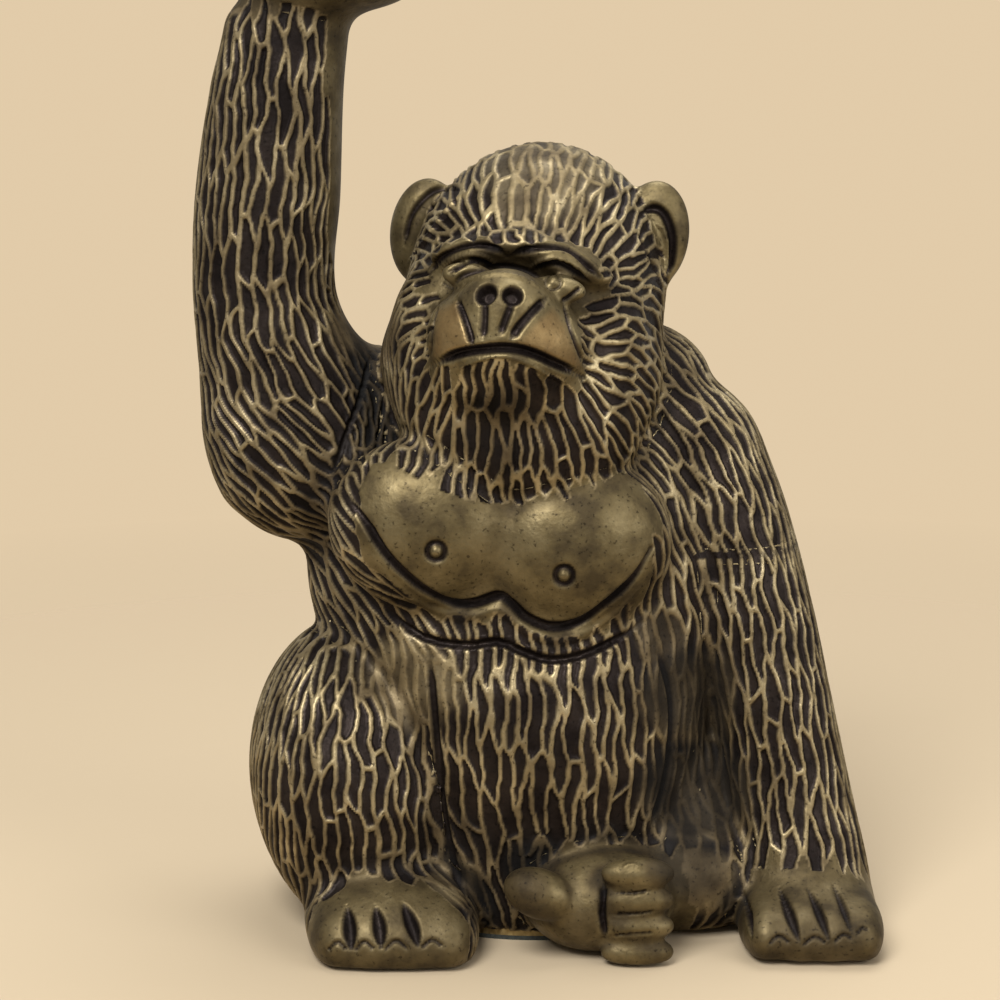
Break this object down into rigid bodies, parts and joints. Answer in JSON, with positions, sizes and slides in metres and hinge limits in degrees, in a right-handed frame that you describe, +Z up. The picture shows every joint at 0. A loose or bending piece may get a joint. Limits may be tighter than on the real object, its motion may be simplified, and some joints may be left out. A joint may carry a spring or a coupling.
{
  "type": "monkey figurine",
  "caption": "Seated ape figurine in patinated cast brass: one arm raised with an open hand, the other hand on the ground, carved fur, a polished chest and muzzle.",
  "frame": {"origin": "on the surface that the felt pad rests on, under the middle of the figure", "axes": "+Z up, +X to the viewer's right, the figure faces -Y"},
  "size_m": [0.1521, 0.0948, 0.2305],
  "materials": {
    "cast_brass": "dark brown patina in the carved fur, worn bright on the ridges",
    "base_sheet": "dull rolled sheet",
    "pin_brass": "drawn rod",
    "screw_steel": "plain",
    "felt": "dark felt"
  },
  "bodies": {
    "root": {"torso_casting": "cast_brass", "head_casting": "cast_brass", "raised_arm_casting": "cast_brass", "raised_hand_casting": "cast_brass", "lowered_arm_casting": "cast_brass", "right_leg_casting": "cast_brass", "left_leg_casting": "cast_brass", "base_plate": "base_sheet", "base_screws": "screw_steel", "felt_pad": "felt", "neck_pins": "pin_brass", "raised_arm_pins": "pin_brass", "lowered_arm_pins": "pin_brass", "right_leg_pins": "pin_brass", "left_leg_pins": "pin_brass", "wrist_pins": "pin_brass"}
  },
  "joints": []
}
